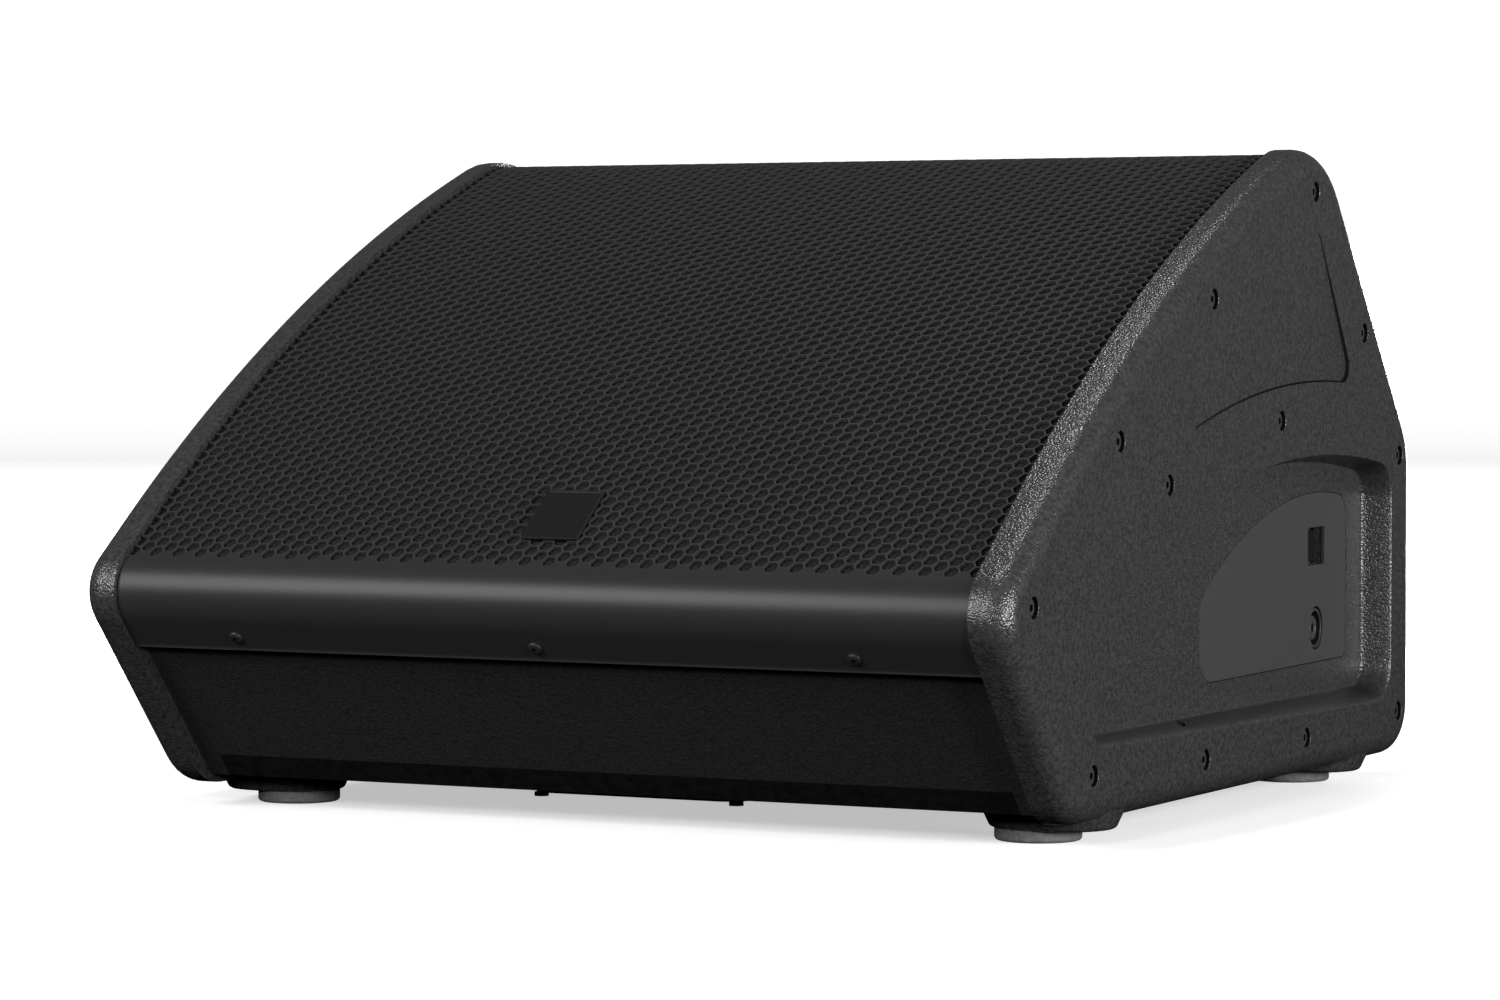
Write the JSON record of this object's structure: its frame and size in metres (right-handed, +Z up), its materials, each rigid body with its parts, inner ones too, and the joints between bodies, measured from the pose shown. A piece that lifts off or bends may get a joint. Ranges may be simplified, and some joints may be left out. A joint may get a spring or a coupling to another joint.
{
  "type": "stage monitor wedge",
  "caption": "Low wedge-shaped stage loudspeaker: plywood cabinet between moulded end cheeks, bowed perforated grille, recessed side connector panel, rubber feet.",
  "frame": {"origin": "on the floor, at the centre of the footprint", "axes": "+X to the listener's right seen from the nose side, +Y from the nose to the back, +Z up"},
  "size_m": [0.532, 0.5759, 0.3557],
  "materials": {
    "painted_plywood": "matt black textured paint over birch plywood",
    "cheek_foam_moulding": "dark grey structural moulding with a fine leathered grain",
    "grille_steel": "powder-coated perforated steel",
    "acoustic_foam": "open-cell foam",
    "wadding": "loose polyester wadding",
    "black_fastener": "black oxide",
    "zinc_fastener": "zinc plated",
    "rubber_foot": "moulded",
    "plate_paint": "satin grey paint on steel",
    "socket_plastic": "glass-filled nylon",
    "contact_brass": "plated",
    "badge_plastic": "plain, no marking",
    "handle_plastic": "fine grain",
    "basket_alloy": "die cast, painted",
    "paper_cone": "coated pulp",
    "surround_rubber": "doped, flexible",
    "treated_cloth": "resin-treated cloth",
    "copper_wire": "enamelled winding wire",
    "steel_plate": "zinc plated",
    "ferrite": "ferrite",
    "horn_plastic": "moulded",
    "dome_metal": "thin formed foil",
    "circuit_board": "glass-epoxy laminate",
    "capacitor_film": "wrapped film",
    "resistor_ceramic": "cement",
    "lead_sheath": "flexible sheath"
  },
  "bodies": {
    "wedge": {"bottom_panel": "painted_plywood", "front_panel": "painted_plywood", "baffle": "painted_plywood", "rear_slope_panel": "painted_plywood", "rear_panel": "painted_plywood", "side_panel_left": "painted_plywood", "side_panel_right": "painted_plywood", "damping_wadding": "wadding", "cheek_left": "cheek_foam_moulding", "cheek_right": "cheek_foam_moulding", "cheek_pan_left": "cheek_foam_moulding", "cheek_pan_right": "cheek_foam_moulding", "cheek_screws_left": "black_fastener", "cheek_screws_right": "black_fastener", "grille": "grille_steel", "grille_foam": "acoustic_foam", "grille_rail_front": "painted_plywood", "grille_rail_rear": "painted_plywood", "grille_screws": "black_fastener", "badge_plate": "badge_plastic", "connector_plate_left": "plate_paint", "connector_plate_right": "plate_paint", "socket_shell_left": "socket_plastic", "socket_shell_right": "socket_plastic", "socket_core_left": "socket_plastic", "socket_core_right": "socket_plastic", "socket_contacts_left": "contact_brass", "socket_contacts_right": "contact_brass", "selector_housing": "socket_plastic", "selector_terminals": "contact_brass", "foot_front_left": "rubber_foot", "foot_front_right": "rubber_foot", "foot_rear_left": "rubber_foot", "foot_rear_right": "rubber_foot", "foot_screws": "zinc_fastener", "handle_cup": "handle_plastic", "handle_bar": "handle_plastic", "handle_screws": "black_fastener", "driver_basket": "basket_alloy", "driver_gasket": "surround_rubber", "surround": "surround_rubber", "spider": "treated_cloth", "top_plate": "steel_plate", "magnet_ring": "ferrite", "pole_yoke": "steel_plate", "hf_horn": "horn_plastic", "hf_motor": "basket_alloy", "hf_cover": "horn_plastic", "driver_bolts": "black_fastener", "crossover_board": "circuit_board", "crossover_standoffs": "zinc_fastener", "crossover_coils": "copper_wire", "crossover_capacitors": "capacitor_film", "crossover_resistors": "resistor_ceramic", "internal_leads": "lead_sheath"},
    "woofer_cone": {"cone": "paper_cone", "coil_former": "treated_cloth", "coil_winding": "copper_wire"},
    "hf_diaphragm": {"hf_diaphragm": "dome_metal"},
    "selector_slider": {"selector_slider": "socket_plastic"}
  },
  "joints": [
    {"name": "cone_slide", "type": "slide", "parent": "wedge", "child": "woofer_cone", "axis": [0, -0.4806, 0.8769], "range_m": [-0.006, 0.006], "stiffness_N_per_m": 6600},
    {"name": "hf_diaphragm_slide", "type": "slide", "parent": "wedge", "child": "hf_diaphragm", "axis": [0, -0.4806, 0.8769], "range_m": [-0.0003, 0.0003], "stiffness_N_per_m": 20000},
    {"name": "selector_slide", "type": "slide", "parent": "wedge", "child": "selector_slider", "axis": [-0.0281, 0.9996, 0], "range_m": [0, 0.01]}
  ]
}
